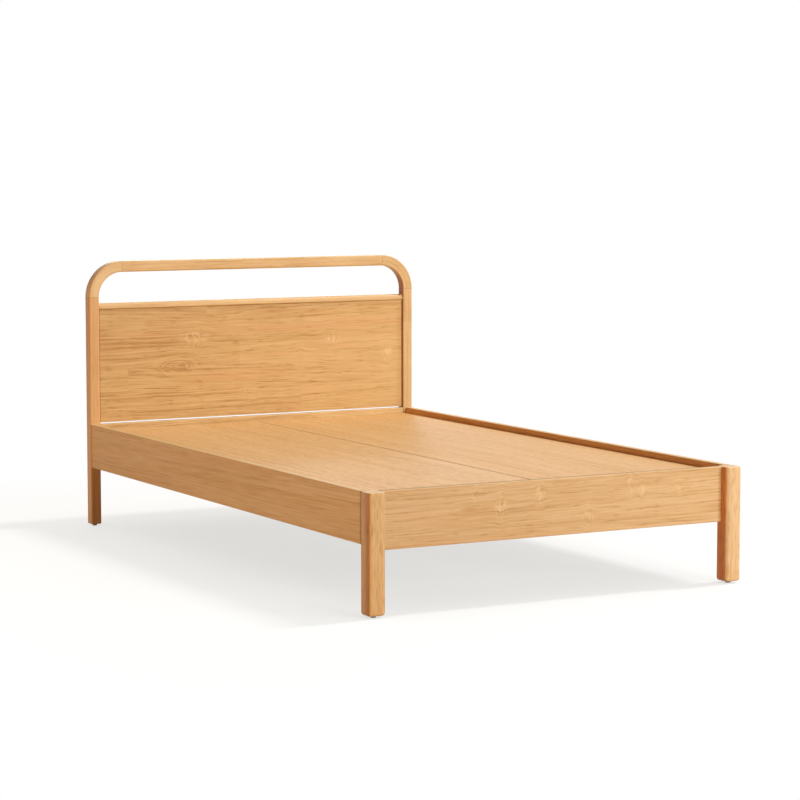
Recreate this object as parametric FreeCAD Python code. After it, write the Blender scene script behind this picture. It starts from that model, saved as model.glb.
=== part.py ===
import FreeCAD, Part
import math
import os

# A free-standing wooden bed with an open arched headboard and a flat recessed deck.
# Millimetres. +Z is up and +Y points to the head. The origin is on the floor under the middle of the bed.

# Overall sizes
BED_WIDTH = 1286.0            # over the posts and the foot legs
BED_LENGTH = 2100.0           # from the front of the foot legs to the back of the posts
HEAD_HEIGHT = 927.0           # from the floor to the top of the arch
RAIL_TOP = 358.0              # from the floor to the top of the rails and foot legs

# Headboard arch: posts, bends and top rail have one section
ARCH_WIDTH = 38.0             # in the plane of the headboard
ARCH_DEPTH = 38.0             # from front to back
ARCH_EDGE = 5.0               # radius of the long edges
BEND_RADIUS = 125.0           # outer radius of the quarter-round bends
POST_FOOT_ROUND = 4.0

# Headboard panel and its cap strip
PANEL_THICKNESS = 22.0
PANEL_EDGE = 3.0              # radius of the panel's upright edges
PANEL_SIDE_GAP = 1.0          # shadow gap beside each post
PANEL_LIFT = 5.0              # open gap between the head rail and the panel
CAP_DROP = 21.0               # from the foot of the bends down to the cap's top
CAP_HEIGHT = 20.0
CAP_DEPTH = 30.0
CAP_GROOVE = 6.0              # how far the panel's top edge goes into the cap
CAP_TOP_ROUND = 11.0
CAP_UNDER_ROUND = 3.0

# Rails
RAIL_THICKNESS = 22.0
RAIL_HEIGHT = 152.0           # side rails and head rail
RAIL_EDGE = 3.0
SIDE_RAIL_SETBACK = 4.0       # behind the outer faces of the posts and legs
FOOT_RAIL_SETBACK = 28.0      # behind the front of the foot legs
FOOT_RAIL_EXTRA = 17.0        # how much deeper the foot rail hangs than the side rails

# Foot legs
LEG_SIDE = 56.0
LEG_CORNER = 12.0             # radius of the upright edges
LEG_FOOT_ROUND = 10.0
LEG_TOP_ROUND = 3.0

# Deck boards
DECK_THICKNESS = 12.0
DECK_RECESS = 20.0            # below the top of the rails
DECK_CLEARANCE = 2.0          # to the rails and legs
DECK_SEAM = 3.0               # between the two boards
DECK_EDGE = 1.5

# Slats, cleats and centre beam under the deck
SLAT_COUNT = 6
SLAT_WIDTH = 80.0
SLAT_THICKNESS = 18.0
SLAT_END_GAP = 10.0           # from the first and last slat to the leg and the head rail
SLAT_CLEARANCE = 1.0          # to the side rails
CLEAT_WIDTH = 24.0
CLEAT_HEIGHT = 30.0
CLEAT_CLEARANCE = 2.0         # to the post and the leg
BOARD_EDGE = 2.0              # radius on slats, cleats and beam
BEAM_WIDTH = 40.0
BEAM_HEIGHT = 80.0
BEAM_CLEARANCE = 1.0          # to the back of each hanger
CENTRE_LEG_SIDE = 40.0
CENTRE_LEG_EDGE = 5.0
CENTRE_LEG_OFFSET = 60.0      # from the middle of the bed towards the head
CENTRE_STUD_LENGTH = 60.0

# Steel hangers for the beam
HANGER_SHEET = 2.0
HANGER_DEPTH = 40.0
HANGER_HEIGHT = 60.0
HANGER_EAR = 24.0             # width of each screw ear beside the beam
HANGER_CLEARANCE = 0.5        # beside the beam
HANGER_SCREW_MARGIN = 14.0    # from the hanger's top and bottom
HANGER_SCREW_LENGTH = 16.0
HANGER_SCREW_DIAMETER = 4.0
HANGER_SCREW_HEAD = 8.0
HANGER_SCREW_HEAD_HEIGHT = 2.4

# Floor glides
GLIDE_HEIGHT = 6.0
GLIDE_DIAMETER = 16.0
GLIDE_ROUND = 1.5
GLIDE_PIN_DIAMETER = 4.0
GLIDE_PIN_LENGTH = 15.0

# Dowels
DOWEL_CHAMFER = 1.0
ARCH_DOWEL_DIAMETER = 8.0
ARCH_DOWEL_LENGTH = 40.0
ARCH_DOWEL_SPACING = 18.0     # two dowels side by side in each arch joint
PANEL_DOWEL_COUNT = 3
PANEL_DOWEL_DIAMETER = 8.0
PANEL_DOWEL_LENGTH = 36.0
PANEL_DOWEL_MARGIN = 60.0     # from the panel's top and bottom
CROSS_DOWEL_DIAMETER = 10.0   # head and foot rails into posts and legs
CROSS_DOWEL_LENGTH = 50.0
RAIL_DOWEL_DIAMETER = 10.0    # side rails into posts and legs
RAIL_DOWEL_LENGTH = 40.0

# Studs, plate washers and nuts that clamp the side rails
PIN_COUNT = 3                 # in each end of a side rail: one stud with two dowels over it
PIN_MARGIN = 35.0             # from the rail's top and bottom to the outer pins
STUD_DIAMETER = 8.0
STUD_LENGTH = 85.0
STUD_BITE = 28.0              # in the post or leg
STUD_INSET = 9.0              # from the side rail's inner face
POCKET_START = 30.0           # from the rail's end
POCKET_LENGTH = 36.0
POCKET_HEIGHT = 28.0
POCKET_DEPTH = 16.0
WASHER_LENGTH = 24.0
WASHER_WIDTH = 14.0
WASHER_THICKNESS = 3.0
NUT_FLATS = 13.0
NUT_THICKNESS = 6.5

# Countersunk wood screws in cleats and slats
SCREW_DIAMETER = 4.5
SCREW_HEAD = 9.0
SCREW_RIM = 0.6               # straight rim of the countersunk head
SCREW_LENGTH = 35.0
SCREW_SINK = 0.5              # head below the wood's surface

# Fits, per side
DOWEL_FIT = 0.15
SCREW_FIT = 0.15
STUD_FIT = 0.25
PANEL_FIT = 0.2

V = FreeCAD.Vector
ACROSS = V(1, 0, 0)
ALONG = V(0, 1, 0)
UP = V(0, 0, 1)
HEADWARD = 1
FOOTWARD = -1

# Planes that several pieces share
SIDE = BED_WIDTH / 2
HEAD = BED_LENGTH / 2
FOOT = -BED_LENGTH / 2
POST_FRONT = HEAD - ARCH_DEPTH
POST_INNER = SIDE - ARCH_WIDTH
ARCH_MID = HEAD - ARCH_DEPTH / 2
POST_MID = SIDE - ARCH_WIDTH / 2
SPRING = HEAD_HEIGHT - BEND_RADIUS
BEND_START = SIDE - BEND_RADIUS
LEG_INNER = SIDE - LEG_SIDE
LEG_BACK = FOOT + LEG_SIDE
RAIL_OUTER = SIDE - SIDE_RAIL_SETBACK
RAIL_INNER = RAIL_OUTER - RAIL_THICKNESS
RAIL_BOTTOM = RAIL_TOP - RAIL_HEIGHT
FOOT_RAIL_FRONT = FOOT + FOOT_RAIL_SETBACK
FOOT_RAIL_BACK = FOOT_RAIL_FRONT + RAIL_THICKNESS
CAP_TOP = SPRING - CAP_DROP
CAP_BOTTOM = CAP_TOP - CAP_HEIGHT
PANEL_TOP = CAP_BOTTOM + CAP_GROOVE
PANEL_BOTTOM = RAIL_TOP + PANEL_LIFT
PANEL_SIDE = POST_INNER - PANEL_SIDE_GAP
DECK_TOP = RAIL_TOP - DECK_RECESS
SLAT_TOP = DECK_TOP - DECK_THICKNESS
CLEAT_TOP = SLAT_TOP - SLAT_THICKNESS
CLEAT_INNER = RAIL_INNER - CLEAT_WIDTH
CLEAT_MID = RAIL_INNER - CLEAT_WIDTH / 2
BEAM_BOTTOM = CLEAT_TOP - BEAM_HEIGHT
HANGER_BOTTOM = BEAM_BOTTOM - HANGER_SHEET
HANGER_CHEEK = BEAM_WIDTH / 2 + HANGER_CLEARANCE + HANGER_SHEET


def block(x, y, z):
    """A box between the given limits along each axis."""
    low = V(x[0], y[0], z[0])
    return Part.makeBox(x[1] - x[0], y[1] - y[0], z[1] - z[0], low)


def runs_along(edge, axis):
    """True for a straight edge parallel to an axis."""
    return isinstance(edge.Curve, Part.Line) and abs(edge.Curve.Direction.dot(axis)) > 0.999


def round_bar(x, y, z, radius, axis):
    """A box whose edges along one axis are rounded."""
    solid = block(x, y, z)
    edges = [edge for edge in solid.Edges if runs_along(edge, axis)]
    return solid.makeFillet(radius, edges)


def round_rim(solid, height, radius):
    """Round the whole rim of the level face at a height."""
    rim = [edge for edge in solid.Edges if all(abs(p.Point.z - height) < 1e-6 for p in edge.Vertexes)]
    return solid.makeFillet(radius, rim)


def mirrored(shape):
    """The same piece on the other side of the bed."""
    return shape.mirror(V(0, 0, 0), ACROSS)


def both_sides(shapes):
    """Left shapes with their right twins."""
    return shapes + [mirrored(shape) for shape in shapes]


def carve(solid, tools):
    """Cut tools out of one solid, which stays in one piece."""
    result = solid.cut(tools)
    if len(result.Solids) != 1:
        raise ValueError("a cut split its piece")
    return result.Solids[0]


def spread(count, low, high):
    """Evenly spaced places from low to high."""
    step = (high - low) / (count - 1)
    return [low + step * index for index in range(count)]


def rod(centre, axis, diameter, length):
    """A round bar about its centre."""
    return Part.makeCylinder(diameter / 2, length, centre - axis * (length / 2), axis)


def dowel(centre, axis, diameter, length):
    """A wooden dowel with chamfered ends."""
    solid = rod(centre, axis, diameter, length)
    rims = [edge for edge in solid.Edges if not runs_along(edge, axis)]
    return solid.makeChamfer(DOWEL_CHAMFER, rims)


def dowels_and_holes(centres, axis, diameter, length):
    """Left dowels and the holes that take them."""
    dowels = [dowel(centre, axis, diameter, length) for centre in centres]
    bore = diameter + 2 * DOWEL_FIT
    holes = [rod(centre, axis, bore, length + 2 * DOWEL_FIT) for centre in centres]
    return dowels, holes


def turned(profile, base, axis):
    """A solid turned from (radius, distance) points about an axis from a base point."""
    points = [V(radius, 0, distance) for radius, distance in profile]
    face = Part.Face(Part.makePolygon(points + points[:1]))
    solid = face.revolve(V(0, 0, 0), UP, 360)
    solid.Placement = FreeCAD.Placement(base, FreeCAD.Rotation(UP, axis))
    return solid


def wood_screw(surface, axis):
    """A countersunk screw driven along an axis from a point on the wood's surface."""
    head = SCREW_HEAD / 2
    shank = SCREW_DIAMETER / 2
    neck = SCREW_RIM + head - shank
    profile = [(0, 0), (head, 0), (head, SCREW_RIM), (shank, neck)]
    profile += [(shank, SCREW_LENGTH - SCREW_DIAMETER), (0, SCREW_LENGTH)]
    return turned(profile, surface + axis * SCREW_SINK, axis)


def wood_screw_hole(surface, axis):
    """The pilot hole and countersink for a wood screw."""
    head = SCREW_HEAD / 2 + SCREW_FIT
    shank = SCREW_DIAMETER / 2 + SCREW_FIT
    rim = SCREW_SINK + SCREW_RIM
    end = SCREW_SINK + SCREW_LENGTH + SCREW_FIT
    profile = [(0, -SCREW_SINK), (head, -SCREW_SINK), (head, rim)]
    profile += [(shank, rim + head - shank), (shank, end), (0, end)]
    return turned(profile, surface, axis)


def screws_and_holes(spots, axis):
    """Wood screws along one axis, and their holes."""
    screws = [wood_screw(spot, axis) for spot in spots]
    holes = [wood_screw_hole(spot, axis) for spot in spots]
    return screws, holes


def pin_levels():
    """Heights of the pins in a side rail's ends, from the stud up."""
    return spread(PIN_COUNT, RAIL_BOTTOM + PIN_MARGIN, RAIL_TOP - PIN_MARGIN)


def cross_levels():
    """Heights of the cross rails' dowels, each half a step below a side rail's pin."""
    levels = pin_levels()
    half_step = (levels[1] - levels[0]) / 2
    return [level - half_step for level in levels]


def slat_places():
    """Middles of the slats along the bed."""
    first = LEG_BACK + SLAT_END_GAP + SLAT_WIDTH / 2
    last = POST_FRONT - SLAT_END_GAP - SLAT_WIDTH / 2
    return spread(SLAT_COUNT, first, last)


def arch_joints():
    """Left dowels and holes at both ends of a bend."""
    depths = [ARCH_MID - ARCH_DOWEL_SPACING / 2, ARCH_MID + ARCH_DOWEL_SPACING / 2]
    low = [V(-POST_MID, depth, SPRING) for depth in depths]
    high = [V(-BEND_START, depth, HEAD_HEIGHT - ARCH_WIDTH / 2) for depth in depths]
    low_set = dowels_and_holes(low, UP, ARCH_DOWEL_DIAMETER, ARCH_DOWEL_LENGTH)
    high_set = dowels_and_holes(high, ACROSS, ARCH_DOWEL_DIAMETER, ARCH_DOWEL_LENGTH)
    return low_set[0] + high_set[0], low_set[1] + high_set[1]


def panel_joints():
    """Left dowels and holes between the panel and its post."""
    levels = spread(PANEL_DOWEL_COUNT, PANEL_BOTTOM + PANEL_DOWEL_MARGIN, CAP_BOTTOM - PANEL_DOWEL_MARGIN)
    centres = [V(-(POST_INNER - PANEL_SIDE_GAP / 2), ARCH_MID, level) for level in levels]
    return dowels_and_holes(centres, ACROSS, PANEL_DOWEL_DIAMETER, PANEL_DOWEL_LENGTH)


def cross_joints(inner, front):
    """Left dowels and holes between a head or foot rail and its post or leg."""
    centres = [V(-inner, front + RAIL_THICKNESS / 2, level) for level in cross_levels()]
    return dowels_and_holes(centres, ACROSS, CROSS_DOWEL_DIAMETER, CROSS_DOWEL_LENGTH)


def rail_dowels(end):
    """Left locating dowels and holes at one end of a side rail."""
    middle = RAIL_OUTER - RAIL_THICKNESS / 2
    centres = [V(-middle, end, level) for level in pin_levels()[1:]]
    return dowels_and_holes(centres, ALONG, RAIL_DOWEL_DIAMETER, RAIL_DOWEL_LENGTH)


def stud_centre(end, toward):
    """Middle of the left stud at one end of a side rail."""
    reach = STUD_BITE - STUD_LENGTH / 2
    return V(-(RAIL_INNER + STUD_INSET), end + toward * reach, pin_levels()[0])


def stud(end, toward):
    return dowel(stud_centre(end, toward), ALONG, STUD_DIAMETER, STUD_LENGTH)


def stud_hole(end, toward):
    bore = STUD_DIAMETER + 2 * STUD_FIT
    return rod(stud_centre(end, toward), ALONG, bore, STUD_LENGTH + 2 * STUD_FIT)


def pocket(end, toward):
    """The spanner pocket in the left rail's inner face."""
    level = pin_levels()[0]
    near = end - toward * POCKET_START
    far = near - toward * POCKET_LENGTH
    x = (-RAIL_INNER - POCKET_DEPTH, -RAIL_INNER + RAIL_THICKNESS)
    z = (level - POCKET_HEIGHT / 2, level + POCKET_HEIGHT / 2)
    return block(x, (min(near, far), max(near, far)), z)


def washer(end, toward):
    """A plate washer against the pocket's end wall."""
    centre = stud_centre(end, toward)
    near = end - toward * POCKET_START
    far = near - toward * WASHER_THICKNESS
    outer = STUD_FIT - RAIL_INNER - POCKET_DEPTH
    z = (centre.z - WASHER_LENGTH / 2, centre.z + WASHER_LENGTH / 2)
    plate = block((outer, outer + WASHER_WIDTH), (min(near, far), max(near, far)), z)
    return carve(plate, [stud_hole(end, toward)])


def nut(end, toward):
    """A hexagon nut on the washer."""
    centre = stud_centre(end, toward)
    seat = end - toward * (POCKET_START + WASHER_THICKNESS)
    corner = NUT_FLATS / 2 / math.cos(math.pi / 6)
    turns = [math.pi / 6 + index * math.pi / 3 for index in range(6)]
    points = [V(centre.x + corner * math.cos(a), seat, centre.z + corner * math.sin(a)) for a in turns]
    face = Part.Face(Part.makePolygon(points + points[:1]))
    prism = face.extrude(ALONG * (-toward * NUT_THICKNESS))
    return carve(prism, [stud_hole(end, toward)])


def post_bar():
    """The left post before it is drilled."""
    z = (GLIDE_HEIGHT, SPRING)
    return round_bar((-SIDE, -POST_INNER), (POST_FRONT, HEAD), z, ARCH_EDGE, UP)


def bend_bar():
    """The left quarter-round bend before it is drilled."""
    section = max(post_bar().Faces, key=lambda face: face.CenterOfMass.z)
    return section.revolve(V(-BEND_START, ARCH_MID, SPRING), ALONG, 90)


def top_rail_bar():
    z = (HEAD_HEIGHT - ARCH_WIDTH, HEAD_HEIGHT)
    return round_bar((-BEND_START, BEND_START), (POST_FRONT, HEAD), z, ARCH_EDGE, ACROSS)


def panel_board():
    half = PANEL_THICKNESS / 2
    y = (ARCH_MID - half, ARCH_MID + half)
    return round_bar((-PANEL_SIDE, PANEL_SIDE), y, (PANEL_BOTTOM, PANEL_TOP), PANEL_EDGE, UP)


def panel_cap():
    """A strip with a rounded nose, grooved over the panel's top edge."""
    front = ARCH_MID - CAP_DEPTH / 2
    back = ARCH_MID + CAP_DEPTH / 2
    strip = block((-PANEL_SIDE, PANEL_SIDE), (front, back), (CAP_BOTTOM, CAP_TOP))
    long_edges = [edge for edge in strip.Edges if runs_along(edge, ACROSS)]
    upper = [edge for edge in long_edges if edge.CenterOfMass.z > CAP_BOTTOM + CAP_HEIGHT / 2]
    strip = strip.makeFillet(CAP_TOP_ROUND, upper)
    long_edges = [edge for edge in strip.Edges if runs_along(edge, ACROSS)]
    lower = [edge for edge in long_edges if abs(edge.CenterOfMass.z - CAP_BOTTOM) < 1e-6]
    strip = strip.makeFillet(CAP_UNDER_ROUND, lower)
    half = PANEL_THICKNESS / 2 + PANEL_FIT
    groove = block((-SIDE, SIDE), (ARCH_MID - half, ARCH_MID + half), (CAP_BOTTOM - CAP_HEIGHT, PANEL_TOP))
    return carve(strip, [groove])


def head_rail_bar():
    y = (POST_FRONT, POST_FRONT + RAIL_THICKNESS)
    return round_bar((-POST_INNER, POST_INNER), y, (RAIL_BOTTOM, RAIL_TOP), RAIL_EDGE, ACROSS)


def foot_rail_bar():
    z = (RAIL_BOTTOM - FOOT_RAIL_EXTRA, RAIL_TOP)
    return round_bar((-LEG_INNER, LEG_INNER), (FOOT_RAIL_FRONT, FOOT_RAIL_BACK), z, RAIL_EDGE, ACROSS)


def side_rail_bar():
    x = (-RAIL_OUTER, -RAIL_INNER)
    return round_bar(x, (LEG_BACK, POST_FRONT), (RAIL_BOTTOM, RAIL_TOP), RAIL_EDGE, ALONG)


def leg_bar():
    """The left foot leg, with rounded corners, foot and top."""
    bar = round_bar((-SIDE, -LEG_INNER), (FOOT, LEG_BACK), (GLIDE_HEIGHT, RAIL_TOP), LEG_CORNER, UP)
    bar = round_rim(bar, GLIDE_HEIGHT, LEG_FOOT_ROUND)
    return round_rim(bar, RAIL_TOP, LEG_TOP_ROUND)


def deck_board():
    """The left deck board, notched round the foot leg."""
    x = (-RAIL_INNER + DECK_CLEARANCE, -DECK_SEAM / 2)
    y = (FOOT_RAIL_BACK + DECK_CLEARANCE, POST_FRONT - DECK_CLEARANCE)
    board = round_bar(x, y, (SLAT_TOP, DECK_TOP), DECK_EDGE, ALONG)
    notch_x = (-SIDE, -LEG_INNER + DECK_CLEARANCE)
    notch_y = (FOOT, LEG_BACK + DECK_CLEARANCE)
    return carve(board, [block(notch_x, notch_y, (0, RAIL_TOP))])


def slat(place):
    reach = RAIL_INNER - SLAT_CLEARANCE
    y = (place - SLAT_WIDTH / 2, place + SLAT_WIDTH / 2)
    return round_bar((-reach, reach), y, (CLEAT_TOP, SLAT_TOP), BOARD_EDGE, ACROSS)


def cleat_bar():
    """The left cleat, on the side rail's inner face."""
    y = (LEG_BACK + CLEAT_CLEARANCE, POST_FRONT - CLEAT_CLEARANCE)
    z = (CLEAT_TOP - CLEAT_HEIGHT, CLEAT_TOP)
    return round_bar((-RAIL_INNER, -CLEAT_INNER), y, z, BOARD_EDGE, ALONG)


def beam_bar():
    half = BEAM_WIDTH / 2
    gap = HANGER_SHEET + BEAM_CLEARANCE
    y = (FOOT_RAIL_BACK + gap, POST_FRONT - gap)
    return round_bar((-half, half), y, (BEAM_BOTTOM, CLEAT_TOP), BOARD_EDGE, ALONG)


def hanger_plate(wall, toward, depth, x, z):
    """A plate of a hanger, from its wall into the bed."""
    inner = wall - toward * depth
    return block(x, (min(wall, inner), max(wall, inner)), z)


def hanger(wall, toward):
    """A folded steel shoe, screwed to a rail, that carries one end of the beam."""
    height = (HANGER_BOTTOM, HANGER_BOTTOM + HANGER_HEIGHT)
    ear = HANGER_CHEEK + HANGER_EAR
    floor = (HANGER_BOTTOM, BEAM_BOTTOM)
    cheek = (-HANGER_CHEEK, HANGER_SHEET - HANGER_CHEEK)
    back = hanger_plate(wall, toward, HANGER_SHEET, (-ear, ear), height)
    seat = hanger_plate(wall, toward, HANGER_DEPTH, (-HANGER_CHEEK, HANGER_CHEEK), floor)
    left = hanger_plate(wall, toward, HANGER_DEPTH, cheek, height)
    shoe = back.fuse([seat, left, mirrored(left)]).removeSplitter()
    return carve(shoe, both_sides(hanger_screw_holes(wall, toward)))


def hanger_screw_spots(wall, toward):
    """Where the left screws enter a hanger's back plate."""
    ear_mid = HANGER_CHEEK + HANGER_EAR / 2
    levels = [HANGER_BOTTOM + HANGER_SCREW_MARGIN, HANGER_BOTTOM + HANGER_HEIGHT - HANGER_SCREW_MARGIN]
    return [V(-ear_mid, wall - toward * HANGER_SHEET, level) for level in levels]


def hanger_screws(wall, toward):
    """Round-headed screws through a hanger's left ear."""
    head = HANGER_SCREW_HEAD / 2
    shank = HANGER_SCREW_DIAMETER / 2
    top = -HANGER_SCREW_HEAD_HEIGHT
    tip = HANGER_SCREW_LENGTH
    profile = [(0, top), (shank, top), (head, top / 2), (head, 0)]
    profile += [(shank, 0), (shank, tip - HANGER_SCREW_DIAMETER), (0, tip)]
    return [turned(profile, spot, ALONG * toward) for spot in hanger_screw_spots(wall, toward)]


def hanger_screw_holes(wall, toward):
    """Holes for a hanger's left screws, through the plate and into the rail."""
    bore = HANGER_SCREW_DIAMETER / 2 + SCREW_FIT
    end = HANGER_SCREW_LENGTH + SCREW_FIT
    profile = [(0, -HANGER_SHEET), (bore, -HANGER_SHEET), (bore, end), (0, end)]
    return [turned(profile, spot, ALONG * toward) for spot in hanger_screw_spots(wall, toward)]


def centre_leg_bar():
    half = CENTRE_LEG_SIDE / 2
    y = (CENTRE_LEG_OFFSET - half, CENTRE_LEG_OFFSET + half)
    return round_bar((-half, half), y, (GLIDE_HEIGHT, BEAM_BOTTOM), CENTRE_LEG_EDGE, UP)


def glide(x, y):
    """A floor glide with the pin that holds it in a leg."""
    disc = Part.makeCylinder(GLIDE_DIAMETER / 2, GLIDE_HEIGHT, V(x, y, 0), UP)
    disc = round_rim(disc, 0, GLIDE_ROUND)
    pin = Part.makeCylinder(GLIDE_PIN_DIAMETER / 2, GLIDE_PIN_LENGTH, V(x, y, GLIDE_HEIGHT), UP)
    return disc.fuse(pin).removeSplitter().Solids[0]


def glide_hole(x, y):
    bore = GLIDE_PIN_DIAMETER / 2 + DOWEL_FIT
    return Part.makeCylinder(bore, GLIDE_PIN_LENGTH + DOWEL_FIT, V(x, y, GLIDE_HEIGHT), UP)


def headboard():
    """The arch, its panel and cap, the head rail and their dowels."""
    arch_pins, arch_holes = arch_joints()
    panel_pins, panel_holes = panel_joints()
    cross_pins, cross_holes = cross_joints(POST_INNER, POST_FRONT)
    end_pins, end_holes = rail_dowels(POST_FRONT)
    post_holes = arch_holes + panel_holes + cross_holes + end_holes
    post_holes += [stud_hole(POST_FRONT, HEADWARD), glide_hole(-POST_MID, ARCH_MID)]
    post = carve(round_rim(post_bar(), GLIDE_HEIGHT, POST_FOOT_ROUND), post_holes)
    bend = carve(bend_bar(), arch_holes)
    rail_tools = both_sides(cross_holes + hanger_screw_holes(POST_FRONT, HEADWARD))
    return {
        "headboard_post_left": post,
        "headboard_post_right": mirrored(post),
        "headboard_bend_left": bend,
        "headboard_bend_right": mirrored(bend),
        "headboard_top_rail": carve(top_rail_bar(), both_sides(arch_holes)),
        "headboard_panel": carve(panel_board(), both_sides(panel_holes)),
        "headboard_panel_cap": panel_cap(),
        "head_rail": carve(head_rail_bar(), rail_tools),
        "arch_dowels": Part.makeCompound(both_sides(arch_pins)),
        "panel_dowels": Part.makeCompound(both_sides(panel_pins)),
        "head_rail_dowels": Part.makeCompound(both_sides(cross_pins)),
        "head_corner_dowels": Part.makeCompound(both_sides(end_pins)),
    }


def foot_end():
    """The foot rail, its legs and their dowels."""
    cross_pins, cross_holes = cross_joints(LEG_INNER, FOOT_RAIL_FRONT)
    end_pins, end_holes = rail_dowels(LEG_BACK)
    leg_x = -(SIDE - LEG_SIDE / 2)
    leg_y = FOOT + LEG_SIDE / 2
    leg_holes = cross_holes + end_holes + [stud_hole(LEG_BACK, FOOTWARD), glide_hole(leg_x, leg_y)]
    leg = carve(leg_bar(), leg_holes)
    rail_tools = both_sides(cross_holes + hanger_screw_holes(FOOT_RAIL_BACK, FOOTWARD))
    foot_glide = glide(leg_x, leg_y)
    head_glide = glide(-POST_MID, ARCH_MID)
    return {
        "foot_leg_left": leg,
        "foot_leg_right": mirrored(leg),
        "foot_rail": carve(foot_rail_bar(), rail_tools),
        "foot_rail_dowels": Part.makeCompound(both_sides(cross_pins)),
        "foot_corner_dowels": Part.makeCompound(both_sides(end_pins)),
        "glide_foot_left": foot_glide,
        "glide_foot_right": mirrored(foot_glide),
        "glide_head_left": head_glide,
        "glide_head_right": mirrored(head_glide),
    }


def side_rails():
    """The side rails with their cleats, and the studs, washers, nuts and screws that hold them."""
    ends = [(POST_FRONT, HEADWARD), (LEG_BACK, FOOTWARD)]
    screws, screw_holes = cleat_fixings()
    slat_holes = slat_fixings()[1]
    rail_tools = screw_holes + [stud_hole(*end) for end in ends] + [pocket(*end) for end in ends]
    rail_tools += rail_dowels(POST_FRONT)[1] + rail_dowels(LEG_BACK)[1]
    rail = carve(side_rail_bar(), rail_tools)
    cleat = carve(cleat_bar(), screw_holes + slat_holes)
    return {
        "side_rail_left": rail,
        "side_rail_right": mirrored(rail),
        "side_cleat_left": cleat,
        "side_cleat_right": mirrored(cleat),
        "cleat_screws": Part.makeCompound(both_sides(screws)),
        "rail_studs": Part.makeCompound(both_sides([stud(*end) for end in ends])),
        "rail_washers": Part.makeCompound(both_sides([washer(*end) for end in ends])),
        "rail_nuts": Part.makeCompound(both_sides([nut(*end) for end in ends])),
    }


def cleat_fixings():
    """Screws and holes that hold the left cleat on its rail, midway between the slats."""
    places = slat_places()
    middles = [(here + beyond) / 2 for here, beyond in zip(places, places[1:])]
    spots = [V(-CLEAT_INNER, middle, CLEAT_TOP - CLEAT_HEIGHT / 2) for middle in middles]
    return screws_and_holes(spots, ACROSS * -1)


def slat_fixings():
    """Screws and holes that hold the slats on the left cleat."""
    return screws_and_holes([V(-CLEAT_MID, place, SLAT_TOP) for place in slat_places()], UP * -1)


def beam_fixings():
    """Screws and holes that hold the slats on the centre beam."""
    return screws_and_holes([V(0, place, SLAT_TOP) for place in slat_places()], UP * -1)


def deck_support():
    """The slats, the centre beam with its hangers, and the centre leg."""
    side_screws, side_holes = slat_fixings()
    beam_screws, beam_holes = beam_fixings()
    hangers = [(POST_FRONT, HEADWARD), (FOOT_RAIL_BACK, FOOTWARD)]
    leg_joint = V(0, CENTRE_LEG_OFFSET, BEAM_BOTTOM)
    leg_stud_hole = rod(leg_joint, UP, STUD_DIAMETER + 2 * STUD_FIT, CENTRE_STUD_LENGTH + 2 * STUD_FIT)
    plate_screws = [screw for end in hangers for screw in hanger_screws(*end)]
    pieces = {
        "centre_beam": carve(beam_bar(), beam_holes + [leg_stud_hole]),
        "beam_hanger_head": hanger(*hangers[0]),
        "beam_hanger_foot": hanger(*hangers[1]),
        "hanger_screws": Part.makeCompound(both_sides(plate_screws)),
        "slat_screws": Part.makeCompound(both_sides(side_screws) + beam_screws),
        "centre_leg": carve(centre_leg_bar(), [leg_stud_hole, glide_hole(0, CENTRE_LEG_OFFSET)]),
        "centre_leg_stud": dowel(leg_joint, UP, STUD_DIAMETER, CENTRE_STUD_LENGTH),
        "glide_centre": glide(0, CENTRE_LEG_OFFSET),
    }
    slat_tools = both_sides(side_holes) + beam_holes
    for number, place in enumerate(slat_places(), start=1):
        pieces[f"cross_slat_{number}"] = carve(slat(place), slat_tools)
    return pieces


def deck():
    """The two loose deck boards."""
    board = deck_board()
    return {"deck_board_left": board, "deck_board_right": mirrored(board)}


os.makedirs("parts", exist_ok=True)
for group in (headboard(), foot_end(), side_rails(), deck_support(), deck()):
    for name, shape in group.items():
        shape.exportStep(f"parts/{name}.step")
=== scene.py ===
"""Looks of the wooden bed: grained wood, hardware, floor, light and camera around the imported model."""
import math
from collections import namedtuple

import bpy
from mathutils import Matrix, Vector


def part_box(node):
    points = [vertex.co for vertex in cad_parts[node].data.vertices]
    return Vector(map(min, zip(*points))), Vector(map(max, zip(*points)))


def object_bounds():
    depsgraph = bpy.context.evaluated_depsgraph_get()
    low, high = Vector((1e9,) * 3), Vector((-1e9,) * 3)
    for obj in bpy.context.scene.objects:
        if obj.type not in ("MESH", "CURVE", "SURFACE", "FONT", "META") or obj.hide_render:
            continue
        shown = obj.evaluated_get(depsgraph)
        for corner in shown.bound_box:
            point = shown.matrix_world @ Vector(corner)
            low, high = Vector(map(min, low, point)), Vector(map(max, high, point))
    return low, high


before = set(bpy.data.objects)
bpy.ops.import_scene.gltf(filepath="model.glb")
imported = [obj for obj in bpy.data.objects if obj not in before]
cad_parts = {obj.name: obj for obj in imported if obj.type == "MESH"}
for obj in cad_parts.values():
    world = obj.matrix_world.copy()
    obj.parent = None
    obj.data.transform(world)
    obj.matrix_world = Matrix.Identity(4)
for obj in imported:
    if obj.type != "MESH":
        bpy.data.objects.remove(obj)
cad_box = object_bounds()

# The camera stands left of the foot end and looks slightly down, as in the photograph.
CAMERA_PLACE = (-4.0166, -7.3593, 1.3189)
CAMERA_YAW = 28.831
CAMERA_PITCH = 5.571
CAMERA_LENS = 116.04
SENSOR_WIDTH = 36.0

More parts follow.
